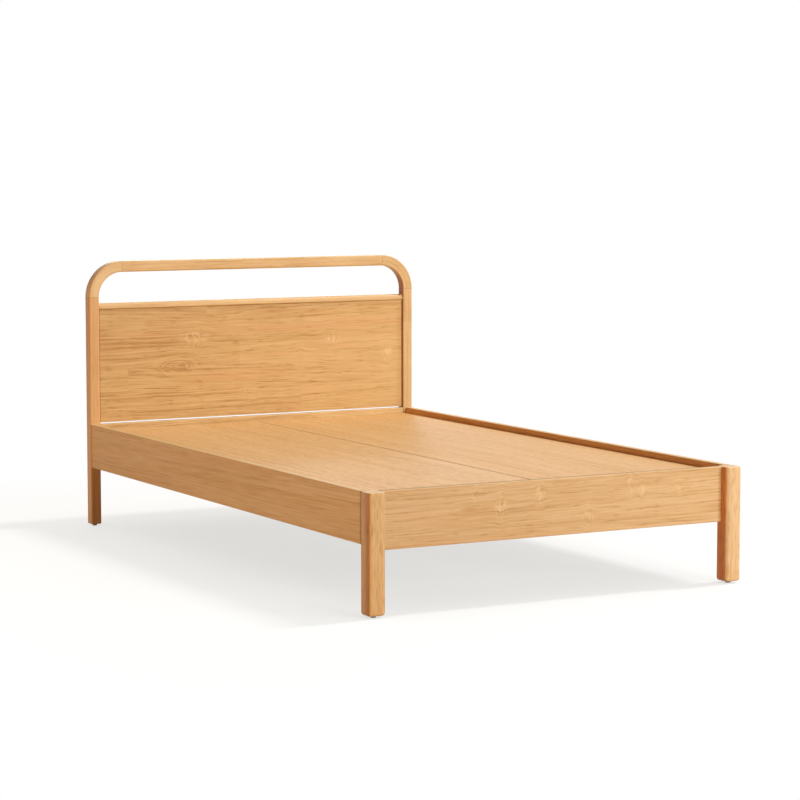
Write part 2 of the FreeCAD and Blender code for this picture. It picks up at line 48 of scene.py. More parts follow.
# Light: a dim warm room, a long lamp high on the right, a far soft box before the foot end, a weaker one
# further right, one behind the headboard, and a low pale board on the left that brightens the faces there.
ROOM_LIGHT = 0.20
ROOM_TINT = (1.0, 0.40, 0.17, 1.0)
ROOM_SEEN = (1.0, 1.0, 1.0, 1.0)
WHITE_LIGHT = (1.0, 1.0, 1.0)
BOARD_LIGHT = (1.0, 0.775, 0.55)
Lamp = namedtuple("Lamp", "name place aim size power tint", defaults=(WHITE_LIGHT,))
LAMPS = (
    Lamp("key_light", (6.3, -0.8, 10.0), (0.0, 0.0, 0.0), (0.9, 3.4), 960.0),
    Lamp("front_light", (1.8, -10.0, 3.0), (0.0, 0.0, 0.4), (3.0, 2.4), 383.0),
    Lamp("side_light", (3.2, -5.8, 1.7), (0.3, 0.0, 0.4), (1.6, 1.2), 115.0),
    Lamp("back_light", (3.2, 9.0, 2.9), (0.0, 0.0, 0.5), (3.0, 2.0), 110.0),
    Lamp("left_board", (-2.25, -0.40, 0.20), (0.0, -0.40, 0.20), (4.6, 0.30), 15.5, BOARD_LIGHT),
)

# The floor shows pale shadows near the bed, with painted shade in its glow where the bed closes it in, and
# fades into the white room further out.
FLOOR_HALF = 40.0
FLOOR_GLOW = 0.655
FLOOR_PAINTED_SHADE_GLOW = 0.17
FLOOR_PAINTED_SHADE_REACH = 0.6
FLOOR_PAINTED_SHADE_RAYS = 8
FLOOR_TINT = (0.985, 1.0, 0.985, 1.0)
FLOOR_SEEN = (0.225, 0.23, 0.235, 1.0)
FLOOR_BOUNCE = (0.60, 0.40, 0.24, 1.0)
FLOOR_FADE_START = 0.5
FLOOR_FADE_END = 1.5

# Wood tones from pale to deep. The middle one lies at MIDDLE_TONE, and an average stave at STAVE_TONE.
PANEL_TONES = ((0.720, 0.487, 0.208, 1.0), (0.630, 0.400, 0.150, 1.0), (0.475, 0.248, 0.072, 1.0))
FRAME_TONES = ((0.760, 0.540, 0.254, 1.0), (0.675, 0.445, 0.182, 1.0), (0.522, 0.300, 0.100, 1.0))
FOOT_TONES = ((0.708, 0.513, 0.276, 1.0), (0.632, 0.428, 0.202, 1.0), (0.500, 0.302, 0.122, 1.0))
# The far leg's tones are a paler copy of the near leg's: painted light and sheen for the stronger light on
# it.
FAR_LEG_PAINTED_LIGHT_TONES = ((0.775, 0.562, 0.300, 1.0), (0.692, 0.470, 0.221, 1.0), (0.552, 0.331, 0.134, 1.0))
LEG_TONES = ((0.676, 0.460, 0.205, 1.0), (0.597, 0.381, 0.147, 1.0), (0.457, 0.247, 0.077, 1.0))
POST_TONES = ((0.722, 0.437, 0.167, 1.0), (0.636, 0.359, 0.120, 1.0), (0.480, 0.235, 0.064, 1.0))
DECK_TONES = ((0.755, 0.482, 0.212, 1.0), (0.672, 0.404, 0.158, 1.0), (0.538, 0.282, 0.090, 1.0))
PLAIN_TONES = ((0.780, 0.600, 0.390, 1.0), (0.700, 0.510, 0.310, 1.0), (0.570, 0.380, 0.200, 1.0))
MIDDLE_TONE = 0.45
STAVE_TONE = 0.20

# The rosy tone of some streaks, the dark hearts of the knots and the pale strokes beside them.
ROSY_WOOD = (0.690, 0.365, 0.155, 1.0)
KNOT_WOOD = (0.400, 0.170, 0.050, 1.0)
SWIRL_WOOD = (0.860, 0.640, 0.340, 1.0)

# Hardware tones, from dark to pale.
STEEL_TONES = ((0.52, 0.53, 0.55, 1.0), (0.68, 0.69, 0.70, 1.0))
STEEL_ROUGH = (0.24, 0.42)
PLASTIC_TONES = ((0.22, 0.205, 0.195, 1.0), (0.30, 0.285, 0.27, 1.0))
PLASTIC_ROUGH = (0.50, 0.65)

# Painted shade: the faces that look left get a darker, warmer tint. It grows from its start to full as a face
# turns left, and behind its back line only a part of it is kept.
Stain = namedtuple("Stain", "colour start full back", defaults=(None,))
NEAR_LEG_PAINTED_SHADE = Stain((0.72, 0.47, 0.20, 1.0), 0.45, 0.80)
NEAR_LEG_ROUND = 0.026
FAR_LEG_PAINTED_SHADE = Stain((1.0, 0.58, 0.28, 1.0), 0.75, 1.00)
POST_PAINTED_SHADE = Stain((0.72, 0.44, 0.26, 1.0), 0.6, 0.95)
RAIL_PAINTED_SHADE = Stain((1.10, 0.93, 0.88, 1.0), 0.5, 0.9)
PAINTED_SHADE_FADE = 0.010
PAINTED_SHADE_KEPT = 0.28

# Dark lines: glue lines of the arch; painted shade in the gaps round the panel, at the joints of the rails
# and on the corner of a leg; the darker inner top edge of the foot rail and the seam of the deck. The darkest
# of them are matt.
Line = namedtuple("Line", "axis place half shade")
GLUE_HALF = 0.0009
GLUE_SHADE = 0.78
PAINTED_GAP_HALF = 0.002
PAINTED_GAP_SHADE = 0.60
PAINTED_JOINT_HALF = 0.004
PAINTED_JOINT_SHADE = 0.66
PAINTED_CORNER_SHADE = 0.82
INNER_EDGE_HALF = 0.008
INNER_EDGE_SHADE = 0.52
SEAM_HALF = 0.003
SEAM_SHADE = 0.86
MATT_ROUGH = 0.95
MATT_SHADE = 0.60

# Marks in the wood and the hardware: how often they repeat in a metre along and across the grain, where they
# are taken from the noise, the band of the noise that they grow over, and how fine the noise is.
Mark = namedtuple("Mark", "along across seed band detail rough", defaults=((0.0, 1.0), 2.0, 0.5))
SWAY = Mark(1.7, 9.0, 0.0)
BROAD = Mark(0.9, 14.0, 11.0, (0.3, 0.7))
STREAK = Mark(1.0, 58.0, 23.0, (0.25, 0.75), 3.0, 0.6)
DARK_LINE = Mark(0.8, 140.0, 31.0, (0.54, 0.62), 1.0, 0.6)
PALE_LINE = Mark(1.0, 150.0, 37.0, (0.56, 0.64), 1.0, 0.6)
HAIR = Mark(14.0, 220.0, 43.0, detail=1.0)
SPECK = Mark(20.0, 130.0, 47.0, (0.56, 0.70), 1.0)
BLUSH = Mark(1.3, 20.0, 53.0, (0.5, 0.72))
RING_JITTER = Mark(4.0, 60.0, 2.0)
RING_PATCH = Mark(2.0, 30.0, 4.0, (0.35, 0.65))
KNOT_BENDS = (Mark(14.0, 40.0, 61.0), Mark(14.0, 40.0, 67.0))
SWIRL_WAVE = Mark(18.0, 34.0, 71.0)
SWIRL_STROKE = Mark(130.0, 34.0, 73.0, (0.42, 0.60), 1.0)
STEEL_CLOUD = Mark(140.0, 140.0, 5.0, (0.3, 0.7), 3.0)
PLASTIC_SPECK = Mark(900.0, 900.0, 9.0, (0.3, 0.7))
SEED_STEP = 7.3

# How strong the marks are, in tone, in roughness or as a share of the look's own value.
BROAD_TONES = (-0.10, 0.12)
STREAK_TONES = (-0.24, 0.32)
STREAK_ROUGH = (-0.05, 0.08)
PALE_SHARE = -0.8
PATCH_SHARES = (0.3, 1.0)

# How far the grain sways and the strokes wander in metres, how far a ring wanders in rings, and the parts
# of a ring over which its line darkens and pales again.
SWAY_REACH = 0.006
STROKE_WANDER = 0.05
RING_WANDER = 0.9
RING_RISE = (0.25, 0.80)
RING_FALL = (0.86, 1.0)

# Where a log's heart may lie behind a stave, and how the rows of staves are shifted from board to board.
HEART_ASIDE = 0.07
HEART_SLOPE = 0.04
HEART_DEPTHS = (0.02, 0.09)
STAVE_OFFSET = 0.37
STAVE_DRAW = 3.0

# How a knot opens the grain, how fast it fades outwards, how blunt its ends are and how small its heart is.
KNOT_OPENING = -0.9
KNOT_FALL = -1.4
KNOT_BLUNT = 0.02
KNOT_HEART = 3.0

# Bumps: strength and height in metres.
WOOD_BUMP = (0.12, 0.0004)
STEEL_BUMP = (0.15, 0.0003)
PLASTIC_BUMP = (0.3, 0.0002)

# Knots and swirls: their middle and size along and across the board, how far they turn the
# rings, how strongly the rings show round them, how dark the heart is and how strong the pale strokes are.
Knot = namedtuple("Knot", "along across length height turns rings core pale", defaults=(0.6, 0.0, 0.0, 0.0))
PANEL_KNOTS = (
    Knot(-0.319, 0.550, 0.078, 0.026, turns=3.6, rings=0.90, pale=0.10),
    Knot(-0.262, 0.552, 0.040, 0.016, turns=1.5, rings=0.35, pale=0.40),
    Knot(-0.213, 0.661, 0.026, 0.012, turns=0.5, rings=0.05, core=0.90),
    Knot(-0.245, 0.648, 0.045, 0.026, turns=1.2, rings=0.12, pale=0.80),
    Knot(0.307, 0.624, 0.034, 0.022, turns=1.2, rings=0.12, pale=0.80),
    Knot(-0.387, 0.432, 0.044, 0.014, turns=1.0, rings=0.05, core=0.40),
    Knot(0.290, 0.492, 0.044, 0.014, turns=1.0, rings=0.05, core=0.25),
    Knot(0.540, 0.572, 0.026, 0.034, pale=0.55),
    Knot(0.182, 0.574, 0.026, 0.030, pale=0.45),
    Knot(-0.020, 0.446, 0.040, 0.020, pale=0.45),
)
FOOT_KNOTS = (
    Knot(-0.300, 0.283, 0.042, 0.014, turns=1.0, rings=0.05, core=0.45),
    Knot(-0.238, 0.286, 0.030, 0.010, turns=0.8, rings=0.05, core=0.35),
    Knot(-0.194, 0.290, 0.018, 0.030, pale=1.00),
    Knot(-0.062, 0.318, 0.018, 0.028, core=0.15, pale=1.00),
    Knot(-0.280, 0.330, 0.011, 0.016, core=0.30, pale=0.60),
    Knot(0.106, 0.234, 0.022, 0.030, pale=1.00),
    Knot(0.165, 0.232, 0.035, 0.010, turns=0.8, rings=0.05, core=0.25),
    Knot(0.315, 0.232, 0.040, 0.012, turns=0.8, rings=0.05, core=0.25),
    Knot(0.254, 0.326, 0.014, 0.028, pale=0.90),
    Knot(0.296, 0.306, 0.012, 0.024, pale=0.70),
    Knot(0.430, 0.304, 0.014, 0.018, core=0.10, pale=0.60),
)
SIDE_KNOTS = (
    Knot(0.200, 0.335, 0.044, 0.014, turns=1.0, rings=0.10, core=0.30),
    Knot(0.577, 0.273, 0.047, 0.015, turns=1.0, rings=0.10, core=0.20, pale=0.10),
)

# One board's look. Staves and ring gaps are in metres, and hair_run is the hairs in a metre along the grain.
# Drift and fade paint light: tone and brightness change along the board. The rest say how strong each mark
# is.
LOOK_DEFAULTS = {
    "tones": FRAME_TONES,
    "seed": 1.0,
    "knots": (),
    "stave_width": 0.30,
    "stave_length": 3.0,
    "spread": 0.05,
    "lean": 0.02,
    "ring_gap": 0.010,
    "rings": 0.24,
    "soft": 0.7,
    "lines": 0.24,
    "hair": 0.9,
    "hair_run": HAIR.along,
    "fleck": 0.05,
    "blush": 0.4,
    "drift": 0.0,
    "rough": 0.45,
    "gloss": 0.40,
    "stain": None,
    "fade": 0.0,
}
Look = namedtuple("Look", LOOK_DEFAULTS, defaults=LOOK_DEFAULTS.values())
Field = namedtuple("Field", "knot near above")

# The cross slats under the deck, each with its own grain.
SLATS = 6
SLAT_SEED_STEP = 1.7


class Graph:
    """The nodes of one material and the shader that they end in."""

    def __init__(self, name):
        self.material = bpy.data.materials.new(name)
        self.material.use_nodes = True
        self.tree = self.material.node_tree
        self.shader = self.tree.nodes["Principled BSDF"]

    def node(self, kind, **settings):
        made = self.tree.nodes.new(kind)
        for key, value in settings.items():
            setattr(made, key, value)
        return made

    def put(self, socket, value):
        if isinstance(value, bpy.types.NodeSocket):
            self.tree.links.new(value, socket)
        else:
            socket.default_value = value

    def math(self, operation, *values):
        made = self.node("ShaderNodeMath", operation=operation)
        for socket, value in zip(made.inputs, values):
            self.put(socket, value)
        return made.outputs[0]

    def total(self, *values):
        result = values[0]
        for value in values[1:]:
            result = self.math("ADD", result, value)
        return result

    def vector(self, *values):
        made = self.node("ShaderNodeCombineXYZ")
        for socket, value in zip(made.inputs, values):
            self.put(socket, value)
        return made.outputs[0]

    def noise(self, space, mark, seed=0.0):
        """A noise drawn out along and across the space as the mark says."""
        scales = (mark.along, mark.across, mark.across)
        parts = [self.math("MULTIPLY_ADD", part, scale, seed + mark.seed + SEED_STEP * number)
                 for number, (part, scale) in enumerate(zip(space, scales))]
        made = self.node("ShaderNodeTexNoise", noise_dimensions="3D")
        self.put(made.inputs["Vector"], self.vector(*parts))
        self.put(made.inputs["Scale"], 1.0)
        self.put(made.inputs["Detail"], mark.detail)
        self.put(made.inputs["Roughness"], mark.rough)
        return made.outputs[0]

    def chance(self, *values):
        """Three values by chance, the same wherever the given values are the same."""
        made = self.node("ShaderNodeTexWhiteNoise", noise_dimensions="3D")
        self.put(made.inputs["Vector"], self.vector(*values))
        parts = self.node("ShaderNodeSeparateColor")
        self.put(parts.inputs[0], made.outputs["Color"])
        return parts.outputs[0], parts.outputs[1], parts.outputs[2]

    def ranged(self, value, low, high, to_low, to_high, smooth=False):
        made = self.node("ShaderNodeMapRange")
        made.interpolation_type = "SMOOTHSTEP" if smooth else "LINEAR"
        for name, number in (("Value", value), ("From Min", low), ("From Max", high)):
            self.put(made.inputs[name], number)
        for name, number in (("To Min", to_low), ("To Max", to_high)):
            self.put(made.inputs[name], number)
        return made.outputs[0]

    def ramp(self, value, stops):
        made = self.node("ShaderNodeValToRGB")
        elements = made.color_ramp.elements
        while len(elements) < len(stops):
            elements.new(1.0)
        for element, (place, colour) in zip(elements, stops):
            element.position = place
            element.color = colour
        self.put(made.inputs[0], value)
        return made.outputs[0]

    def mix(self, amount, first, second, blend="MIX"):
        made = self.node("ShaderNodeMix", data_type="RGBA", blend_type=blend)
        self.put(made.inputs[0], amount)
        self.put(made.inputs[6], first)
        self.put(made.inputs[7], second)
        return made.outputs[2]

    def dimmed(self, colour, shade):
        grey = self.node("ShaderNodeCombineColor")
        for socket in grey.inputs[:3]:
            self.put(socket, shade)
        return self.mix(1.0, colour, grey.outputs[0], "MULTIPLY")

    def place(self):
        coords = self.node("ShaderNodeTexCoord")
        parts = self.node("ShaderNodeSeparateXYZ")
        self.put(parts.inputs[0], coords.outputs["Object"])
        return {name: parts.outputs[name] for name in "XYZ"}

    def bump(self, height, strength, distance):
        made = self.node("ShaderNodeBump")
        self.put(made.inputs["Strength"], strength)
        self.put(made.inputs["Distance"], distance)
        self.put(made.inputs["Height"], height)
        self.put(self.shader.inputs["Normal"], made.outputs[0])


def straight_space(graph, order):
    """Along the grain, across it and into the board, for a straight piece."""
    place = graph.place()
    return [place[name] for name in order]


def curved_space(graph, centre_x, centre_z, radius):
    """Along the arc, across it and into the board, for a bend of the arch."""
    place = graph.place()
    side = graph.math("SUBTRACT", place["X"], centre_x)
    rise = graph.math("SUBTRACT", place["Z"], centre_z)
    angle = graph.math("ARCTAN2", rise, side)
    squares = graph.math("ADD", graph.math("MULTIPLY", side, side), graph.math("MULTIPLY", rise, rise))
    return [graph.math("MULTIPLY", angle, radius), graph.math("SQRT", squares), place["Y"]]


def stave_numbers(graph, space, look):
    """Three chance values that stay the same over one glued stave, and the place across that stave."""
    along, across, _ = space
    rows = graph.math("MULTIPLY_ADD", across, 1.0 / look.stave_width, look.seed * STAVE_OFFSET)
    row = graph.math("FLOOR", rows)
    shift = graph.chance(row, look.seed, STAVE_DRAW)[0]
    runs = graph.math("MULTIPLY_ADD", along, 1.0 / look.stave_length, shift)
    run = graph.math("FLOOR", runs)
    across_stave = graph.math("SUBTRACT", graph.math("SUBTRACT", rows, row), 0.5)
    return graph.chance(row, run, look.seed), across_stave


def knot_fields(graph, space, look):
    """Per knot: how near it is, from one at its heart to nought, and the place above or below it."""
    if not look.knots:
        return []
    along, across, _ = space
    bends = [graph.ranged(graph.noise(space, mark, look.seed), *mark.band, -0.5, 0.5) for mark in KNOT_BENDS]
    fields = []
    for knot in look.knots:
        run = graph.math("MULTIPLY", graph.math("SUBTRACT", along, knot.along), 1.0 / knot.length)
        run = graph.math("ADD", run, bends[0])
        above = graph.math("SUBTRACT", across, knot.across)
        rise = graph.math("MULTIPLY_ADD", above, 1.0 / knot.height, bends[1])
        lens = graph.math("SQRT", graph.math("MULTIPLY_ADD", rise, rise, KNOT_BLUNT))
        reach = graph.math("MULTIPLY_ADD", run, run, lens)
        near = graph.math("POWER", math.e, graph.math("MULTIPLY", reach, KNOT_FALL))
        fields.append(Field(knot, near, above))
    return fields


def leaning_space(graph, space, look, chances, fields):
    """The same space with each stave's grain a little askew, swaying, and opening round the knots."""
    along, across, deep = space
    sway = graph.math("SUBTRACT", graph.noise(space, SWAY, look.seed), 0.5)
    lean = graph.ranged(chances[2], 0.0, 1.0, -look.lean, look.lean)
    moved = graph.math("MULTIPLY_ADD", along, lean, across)
    moved = graph.math("MULTIPLY_ADD", sway, SWAY_REACH, moved)
    for field in fields:
        opening = graph.math("MULTIPLY", graph.math("MULTIPLY", field.near, field.above), KNOT_OPENING)
        moved = graph.math("ADD", moved, opening)
    return [along, moved, deep]


def ring_shade(graph, grain, space, look, chances, across_stave, fields):
    """The shade of the lines where a board cuts the rings of a log with its heart behind each stave."""
    along, moved, deep = grain
    bent = graph.math("SUBTRACT", moved, space[1])
    aside = graph.math("MULTIPLY_ADD", across_stave, look.stave_width, bent)
    aside = graph.math("ADD", aside, graph.ranged(chances[0], 0.0, 1.0, -HEART_ASIDE, HEART_ASIDE))
    slope = graph.ranged(chances[2], 0.0, 1.0, -HEART_SLOPE, HEART_SLOPE)
    depth = graph.math("ADD", deep, graph.ranged(chances[1], 0.0, 1.0, *HEART_DEPTHS))
    depth = graph.math("ADD", depth, graph.math("MULTIPLY", along, slope))
    squares = graph.math("ADD", graph.math("MULTIPLY", aside, aside), graph.math("MULTIPLY", depth, depth))
    turns = [graph.math("MULTIPLY", field.near, field.knot.turns) for field in fields]
    turns.append(graph.math("MULTIPLY", graph.noise(grain, RING_JITTER, look.seed), RING_WANDER))
    turns.append(graph.math("DIVIDE", graph.math("SQRT", squares), look.ring_gap))
    saw = graph.math("FRACT", graph.total(*turns))
    rise = graph.ranged(saw, *RING_RISE, 0.0, 1.0, smooth=True)
    fall = graph.ranged(saw, *RING_FALL, 1.0, 0.0, smooth=True)
    patch = graph.ranged(graph.noise(grain, RING_PATCH, look.seed), *RING_PATCH.band, *PATCH_SHARES)
    strength = graph.math("MULTIPLY", patch, look.rings)
    round_knots = [graph.math("MULTIPLY", field.near, field.knot.rings) for field in fields]
    line = graph.math("MULTIPLY", rise, fall)
    return graph.math("MULTIPLY", line, graph.total(strength, *round_knots))


def fibre_tone(graph, grain, look, streak):
    """Broad bands, soft streaks, thin dark and pale lines, hairs and flecks that all run along the grain."""
    broad = graph.noise(grain, BROAD, look.seed)
    dark = graph.noise(grain, DARK_LINE, look.seed)
    pale = graph.noise(grain, PALE_LINE, look.seed)
    hair = graph.noise(grain, HAIR._replace(along=look.hair_run), look.seed)
    speck = graph.noise(grain, SPECK, look.seed)
    return graph.total(
        graph.ranged(broad, *BROAD.band, *BROAD_TONES),
        graph.ranged(streak, *STREAK.band, *[tone * look.soft for tone in STREAK_TONES]),
        graph.ranged(dark, *DARK_LINE.band, 0.0, look.lines, smooth=True),
        graph.ranged(pale, *PALE_LINE.band, 0.0, PALE_SHARE * look.lines, smooth=True),
        graph.ranged(hair, *HAIR.band, -0.5 * look.hair, 0.5 * look.hair),
        graph.ranged(speck, *SPECK.band, 0.0, look.fleck, smooth=True),
    )


def toned(graph, tone, grain, look):
    """The board's colour for a tone, with a rosy blush here and there."""
    pale, mid, deep = look.tones
    colour = graph.ramp(tone, ((0.0, pale), (MIDDLE_TONE, mid), (1.0, deep)))
    blush = graph.ranged(graph.noise(grain, BLUSH, look.seed), *BLUSH.band, 0.0, look.blush)
    return graph.mix(blush, colour, ROSY_WOOD)


def swirl_strokes(graph, space, look):
    """Short wavy strokes across the grain, one on a stroke and nought between."""
    along, across, deep = space
    wave = graph.noise(space, SWIRL_WAVE, look.seed)
    waving = [graph.math("MULTIPLY_ADD", wave, STROKE_WANDER, along), across, deep]
    stroke = graph.noise(waving, SWIRL_STROKE, look.seed)
    return graph.ranged(stroke, *SWIRL_STROKE.band, 0.0, 1.0, smooth=True)


def knotted(graph, colour, space, look, fields):
    """The colour with each knot's pale strokes and dark heart."""
    if not fields:
        return colour
    strokes = swirl_strokes(graph, space, look)
    for knot, near, _ in fields:
        swirl = graph.math("MULTIPLY", graph.math("MULTIPLY", near, knot.pale), strokes)
        colour = graph.mix(swirl, colour, SWIRL_WOOD)
        heart = graph.math("POWER", near, KNOT_HEART)
        colour = graph.mix(graph.math("MULTIPLY", heart, knot.core), colour, KNOT_WOOD)
    return colour


def painted_shade_amount(graph, stain):
    """How much painted shade a face gets: one on faces that look left, nought on the front, and only a part
    behind the back line.
    """
    geometry = graph.node("ShaderNodeNewGeometry")
    parts = graph.node("ShaderNodeSeparateXYZ")
    graph.put(parts.inputs[0], geometry.outputs["Normal"])
    left = graph.math("MULTIPLY", parts.outputs["X"], -1.0)
    amount = graph.ranged(left, stain.start, stain.full, 0.0, 1.0, smooth=True)
    if stain.back is None:
        return amount
    fade = graph.ranged(graph.place()["Y"], stain.back - PAINTED_SHADE_FADE, stain.back, 1.0, PAINTED_SHADE_KEPT, True)
    return graph.math("MULTIPLY", amount, fade)


def line_shade(graph, lines):
    """One away from the dark lines and less on them, or None for a board without lines. Some lines are
    painted shade.
    """
    if not lines:
        return None
    place = graph.place()
    shade = None
    for line in lines:
        off = graph.math("ABSOLUTE", graph.math("SUBTRACT", place[line.axis], line.place))
        dark = graph.ranged(off, line.half, 2.0 * line.half, line.shade, 1.0, smooth=True)
        shade = dark if shade is None else graph.math("MINIMUM", shade, dark)
    return shade


def satin_finish(graph, colour, look, streak, fibres, shade):
    """A satin sheen over the board that turns matt on its dark lines."""
    graph.put(graph.shader.inputs["Base Color"], colour)
    rough = graph.ranged(streak, *STREAK.band, *[look.rough + more for more in STREAK_ROUGH])
    if shade is not None:
        rough = graph.math("MAXIMUM", rough, graph.ranged(shade, MATT_SHADE, 1.0, MATT_ROUGH, 0.0))
    graph.put(graph.shader.inputs["Roughness"], rough)
    graph.put(graph.shader.inputs["Specular IOR Level"], look.gloss)
    graph.bump(graph.math("MULTIPLY", fibres, -1.0), *WOOD_BUMP)


def wood(name, space_of, look, lines=()):
    """One board's material: staves, rings, knots, streaks and flecks in a satin finish, with its painted
    light and shade.
    """
    graph = Graph(name)
    space = space_of(graph)
    chances, across_stave = stave_numbers(graph, space, look)
    fields = knot_fields(graph, space, look)
    grain = leaning_space(graph, space, look, chances, fields)
    streak = graph.noise(grain, STREAK, look.seed)
    fibres = fibre_tone(graph, grain, look, streak)
    rings = ring_shade(graph, grain, space, look, chances, across_stave, fields)
    stave = graph.ranged(chances[1], 0.0, 1.0, STAVE_TONE - look.spread, STAVE_TONE + look.spread)
    # The drift is painted light: the tone changes along the board.
    tone = graph.total(stave, rings, fibres, graph.math("MULTIPLY", space[0], look.drift))
    colour = knotted(graph, toned(graph, tone, grain, look), space, look, fields)
    # Painted shade on the faces that look left.
    if look.stain is not None:
        colour = graph.mix(painted_shade_amount(graph, look.stain), colour, look.stain.colour, "MULTIPLY")
    # Painted light: the brightness changes along the board.
    if look.fade:
        colour = graph.dimmed(colour, graph.math("MULTIPLY_ADD", space[0], look.fade, 1.0))
    shade = line_shade(graph, lines)
    if shade is not None:
        colour = graph.dimmed(colour, shade)
    satin_finish(graph, colour, look, streak, fibres, shade)
    return graph.material


def hardware(name, mark, tones, rough, bump):
    """The nodes of a material without grain that is a little cloudy or speckled."""
    graph = Graph(name)
    cloud = graph.noise(straight_space(graph, "XYZ"), mark)
    graph.put(graph.shader.inputs["Base Color"], graph.ramp(cloud, tuple(zip(mark.band, tones))))
    graph.put(graph.shader.inputs["Roughness"], graph.ranged(cloud, *mark.band, *rough))
    graph.bump(cloud, *bump)
    return graph


def zinc_steel():
    """Bright plated steel with a faint cloudy bloom."""
    graph = hardware("zinc_steel_look", STEEL_CLOUD, STEEL_TONES, STEEL_ROUGH, STEEL_BUMP)
    graph.put(graph.shader.inputs["Metallic"], 1.0)
    return graph.material


def glide_plastic():
    """Grey moulded plastic with a fine matt texture."""
    return hardware("glide_plastic_look", PLASTIC_SPECK, PLASTIC_TONES, PLASTIC_ROUGH, PLASTIC_BUMP).material


def straight(order):
    return lambda graph: straight_space(graph, order)


def curved(centre_x, centre_z, radius):
    return lambda graph: curved_space(graph, centre_x, centre_z, radius)


def dress(material, *names):
    for name in names:
        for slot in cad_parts[name].material_slots:
            slot.material = material


def dress_arch():
    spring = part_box("headboard_post_left")[1].z
    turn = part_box("headboard_top_rail")[1].x
    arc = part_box("headboard_bend_right")[1].x - turn
    level = [Line("Z", spring, GLUE_HALF, GLUE_SHADE)]
    upright = [Line("X", side * turn, GLUE_HALF, GLUE_SHADE) for side in (-1.0, 1.0)]
    near_post = Look(POST_TONES, 1.7, blush=0.6)
    dress(wood("post_left_look", straight("ZXY"), near_post, level), "headboard_post_left")
    # The far post gets painted shade on the faces that look left.
    far_post = Look(seed=4.1, stain=POST_PAINTED_SHADE)
    dress(wood("post_right_look", straight("ZXY"), far_post, level), "headboard_post_right")
    dress(wood("top_rail_look", straight("XZY"), Look(seed=6.3), upright), "headboard_top_rail")
    # The right bend gets the same painted shade on the faces that look left.
    for side, sign, stain in (("left", -1.0, None), ("right", 1.0, POST_PAINTED_SHADE)):
        bend = Look(seed=8.0 + sign, stain=stain)
        space_of = curved(sign * turn, spring, arc)
        dress(wood("bend_" + side + "_look", space_of, bend, level + upright), "headboard_bend_" + side)


def dress_panel():
    # The drift and fade paint light on the panel: paler and brighter towards its right end.
    panel = Look(
        PANEL_TONES, 2.9, PANEL_KNOTS, stave_width=0.079, stave_length=0.85, spread=0.11, lean=0.04,
        ring_gap=0.012, rings=0.14, soft=0.40, lines=0.28, hair=1.3, hair_run=7.0, fleck=0.30,
        drift=-0.20, rough=0.50, gloss=0.30, fade=0.07,
    )
    # Painted shade in the gaps at both sides of the panel and under its cap.
    painted_gap_shade = [Line("X", edge.x, PAINTED_GAP_HALF, PAINTED_GAP_SHADE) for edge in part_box("headboard_panel")]
    painted_gap_shade.append(Line("Z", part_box("headboard_panel_cap")[0].z, PAINTED_GAP_HALF, PAINTED_GAP_SHADE))
    dress(wood("panel_look", straight("XZY"), panel, painted_gap_shade), "headboard_panel")
    dress(wood("cap_look", straight("XZY"), Look(seed=12.2)), "headboard_panel_cap")
    head_rail = panel._replace(seed=14.6, knots=(), tones=FRAME_TONES)
    dress(wood("head_rail_look", straight("XZY"), head_rail), "head_rail")


def dress_foot_rail():
    # The fade paints light on the foot rail: brighter towards its right end.
    rail = Look(
        FOOT_TONES, 3.4, FOOT_KNOTS, stave_width=0.086, stave_length=30.0, lean=0.04, rings=0.10,
        soft=0.3, lines=0.26, hair=1.3, hair_run=7.0, fleck=0.30, rough=0.52, gloss=0.16, fade=0.07,
    )
    # The inner top edge of the foot rail is darker and matt.
    inner_edge = [Line("Y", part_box("foot_rail")[1].y, INNER_EDGE_HALF, INNER_EDGE_SHADE)]
    dress(wood("foot_rail_look", straight("XZY"), rail, inner_edge), "foot_rail")


def dress_side_rails():
    near_side = Look(
        FRAME_TONES, 5.2, SIDE_KNOTS, stave_width=0.086, stave_length=30.0, lean=0.04, rings=0.10,
        soft=0.4, lines=0.26, hair=1.2, hair_run=9.0, blush=0.2, rough=0.52, gloss=0.30,
    )
    # Painted shade on both rails where they meet the front legs.
    painted_joint_shade = [Line("Y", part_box("side_rail_left")[0].y, PAINTED_JOINT_HALF, PAINTED_JOINT_SHADE)]
    dress(wood("side_rail_left_look", straight("YZX"), near_side, painted_joint_shade), "side_rail_left")
    # The far rail gets a warm painted shade on its inner face, which looks left.
    far_side = near_side._replace(seed=9.4, stain=RAIL_PAINTED_SHADE)
    dress(wood("side_rail_right_look", straight("YZX"), far_side, painted_joint_shade), "side_rail_right")


def dress_legs():
    lowest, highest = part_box("foot_leg_left")
    # Painted shade on the faces of the near leg that look left, full near its front corner and only in part
    # further back.
    stain = NEAR_LEG_PAINTED_SHADE._replace(back=lowest.y + NEAR_LEG_ROUND)
    near_leg = Look(
        LEG_TONES, 2.2, ring_gap=0.009, soft=0.5, lines=0.16, hair=2.0, hair_run=26.0, fleck=0.28,
        stain=stain,
    )
    # Painted shade on the near leg's right corner, where it meets the foot rail.
    corner = [Line("X", highest.x, PAINTED_JOINT_HALF, PAINTED_CORNER_SHADE)]
    dress(wood("leg_left_look", straight("ZXY"), near_leg, corner), "foot_leg_left")
    # The far leg: paler tones as painted light and sheen, and painted shade on its left face.
    far_leg = near_leg._replace(tones=FAR_LEG_PAINTED_LIGHT_TONES, seed=7.7, soft=0.3, stain=FAR_LEG_PAINTED_SHADE)
    dress(wood("leg_right_look", straight("ZXY"), far_leg), "foot_leg_right")


